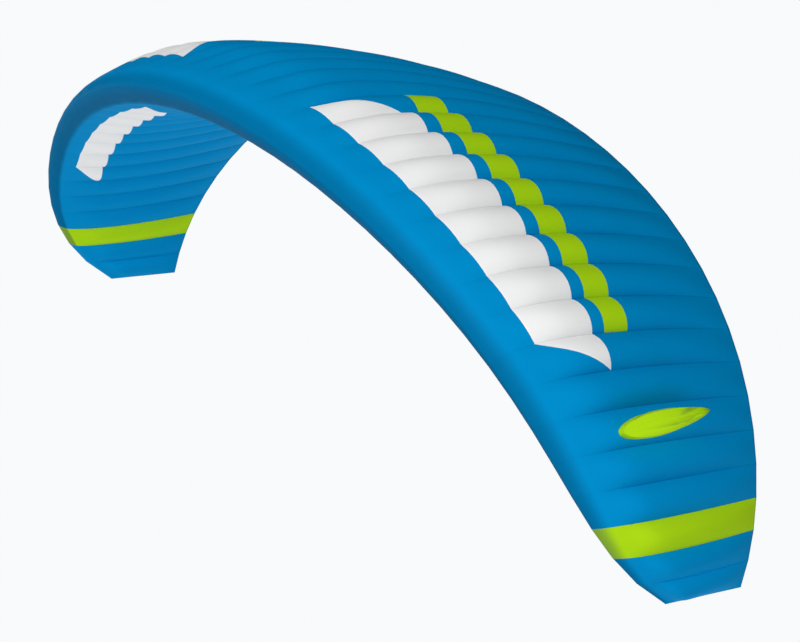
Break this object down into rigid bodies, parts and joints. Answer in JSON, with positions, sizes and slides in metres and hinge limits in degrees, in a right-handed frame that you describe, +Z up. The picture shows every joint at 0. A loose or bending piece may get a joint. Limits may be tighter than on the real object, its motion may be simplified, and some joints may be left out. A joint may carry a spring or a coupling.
{
  "type": "paraglider wing",
  "caption": "Inflated ram-air paraglider wing: an arched, swept, ribbed cloth sail with swollen cells and a small winglet near each tip.",
  "frame": {"origin": "on the lower sail at the centre rib, 30% of the chord behind the nose, where the middle row of lines would pull", "axes": "+X along the span towards the pilot's left tip, -Y the way the wing flies, +Z up"},
  "size_m": [8.7004, 2.91, 3.0857],
  "materials": {
    "sail_cloth": "coated ripstop nylon, satin",
    "nose_cloth": "coated ripstop nylon, satin",
    "winglet_cloth": "coated ripstop nylon, satin"
  },
  "bodies": {
    "root": {"upper_sail_left_01": "sail_cloth", "upper_sail_left_02": "sail_cloth", "upper_sail_left_03": "sail_cloth", "upper_sail_left_04": "sail_cloth", "upper_sail_left_05": "sail_cloth", "upper_sail_left_06": "sail_cloth", "upper_sail_left_07": "sail_cloth", "upper_sail_left_08": "sail_cloth", "upper_sail_left_09": "sail_cloth", "upper_sail_left_10": "sail_cloth", "nose_band_left_01": "nose_cloth", "nose_band_left_02": "nose_cloth", "nose_band_left_03": "nose_cloth", "nose_band_left_04": "nose_cloth", "nose_band_left_05": "nose_cloth", "nose_band_left_06": "nose_cloth", "lower_sail_left_01": "sail_cloth", "lower_sail_left_02": "sail_cloth", "lower_sail_left_03": "sail_cloth", "lower_sail_left_04": "sail_cloth", "lower_sail_left_05": "sail_cloth", "lower_sail_left_06": "sail_cloth", "lower_sail_left_07": "sail_cloth", "lower_sail_left_08": "sail_cloth", "lower_sail_left_09": "sail_cloth", "lower_sail_left_tip": "sail_cloth", "winglet_skin_left": "winglet_cloth", "winglet_cap_left": "winglet_cloth", "upper_sail_right_01": "sail_cloth", "upper_sail_right_02": "sail_cloth", "upper_sail_right_03": "sail_cloth", "upper_sail_right_04": "sail_cloth", "upper_sail_right_05": "sail_cloth", "upper_sail_right_06": "sail_cloth", "upper_sail_right_07": "sail_cloth", "upper_sail_right_08": "sail_cloth", "upper_sail_right_09": "sail_cloth", "upper_sail_right_10": "sail_cloth", "nose_band_right_01": "nose_cloth", "nose_band_right_02": "nose_cloth", "nose_band_right_03": "nose_cloth", "nose_band_right_04": "nose_cloth", "nose_band_right_05": "nose_cloth", "nose_band_right_06": "nose_cloth", "lower_sail_right_01": "sail_cloth", "lower_sail_right_02": "sail_cloth", "lower_sail_right_03": "sail_cloth", "lower_sail_right_04": "sail_cloth", "lower_sail_right_05": "sail_cloth", "lower_sail_right_06": "sail_cloth", "lower_sail_right_07": "sail_cloth", "lower_sail_right_08": "sail_cloth", "lower_sail_right_09": "sail_cloth", "lower_sail_right_tip": "sail_cloth", "winglet_skin_right": "winglet_cloth", "winglet_cap_right": "winglet_cloth"}
  },
  "joints": []
}
